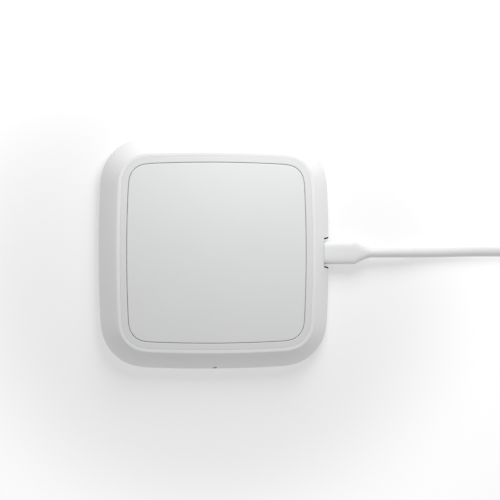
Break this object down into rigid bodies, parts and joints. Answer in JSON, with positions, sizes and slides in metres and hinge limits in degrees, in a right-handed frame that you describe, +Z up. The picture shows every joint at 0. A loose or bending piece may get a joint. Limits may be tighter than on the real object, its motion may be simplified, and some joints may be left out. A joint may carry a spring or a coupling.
{
  "type": "wireless charging pad",
  "caption": "Flat square wireless charging pad with rounded corners, a sloped rim and an unpluggable power lead, put away in a tied coil.",
  "frame": {"origin": "centre of the pad's foot, on the surface that it stands on", "axes": "+Z up, out of the charging face; +X towards the plug side; -Y the front, with the status light"},
  "size_m": [0.256, 0.1347, 0.0124],
  "materials": {
    "shell": "satin moulded white",
    "soft_ring": "matte soft-touch white",
    "plate": "fine matte white",
    "base": "matte white",
    "foot": "matte grey silicone",
    "steel": "zinc plated",
    "plated_steel": "nickel plated",
    "black_plastic": "moulded",
    "white_plastic": "moulded",
    "gold": "gold plated",
    "board": "solder mask over glass fibre",
    "chip": "moulded package",
    "ceramic": "fired ceramic",
    "led": "lens over phosphor",
    "clear": "clear moulded",
    "copper": "enamelled stranded wire",
    "ferrite": "sintered, dull",
    "tape": "adhesive film",
    "bead": "dipped resin",
    "overmold": "satin moulded white",
    "jacket": "smooth extruded white",
    "tie": "light grey hook and loop"
  },
  "bodies": {
    "pad": {"top_shell": "shell", "landing_ring": "soft_ring", "top_plate": "plate", "plate_adhesive": "tape", "bottom_shell": "base", "port_liner": "black_plastic", "foot_ring": "foot", "case_screws": "steel", "tray_screws": "steel", "main_board": "board", "socket_shell": "plated_steel", "socket_tongue": "black_plastic", "socket_contacts": "gold", "controller_ic": "chip", "bridge_mosfets": "chip", "resonant_capacitors": "ceramic", "input_capacitors": "ceramic", "power_inductor": "chip", "crystal": "plated_steel", "chip_passives": "ceramic", "status_led": "led", "light_pipe": "clear", "transmitter_coil": "copper", "ferrite_plate": "ferrite", "ferrite_tape": "tape", "coil_tray": "black_plastic", "thermistor": "bead"},
    "cable": {"plug_shell": "plated_steel", "plug_insert": "black_plastic", "plug_contacts": "gold", "plug_overmold": "overmold", "cord_lead": "jacket", "cord_tail": "jacket", "cord_coil": "jacket", "cable_tie": "tie", "usb_a_overmold": "overmold", "usb_a_shell": "plated_steel", "usb_a_insert": "white_plastic", "usb_a_contacts": "gold"}
  },
  "joints": [
    {"name": "plug_slide", "type": "slide", "parent": "pad", "child": "cable", "axis": [1, 0, 0], "range_m": [0, 0.012]}
  ]
}
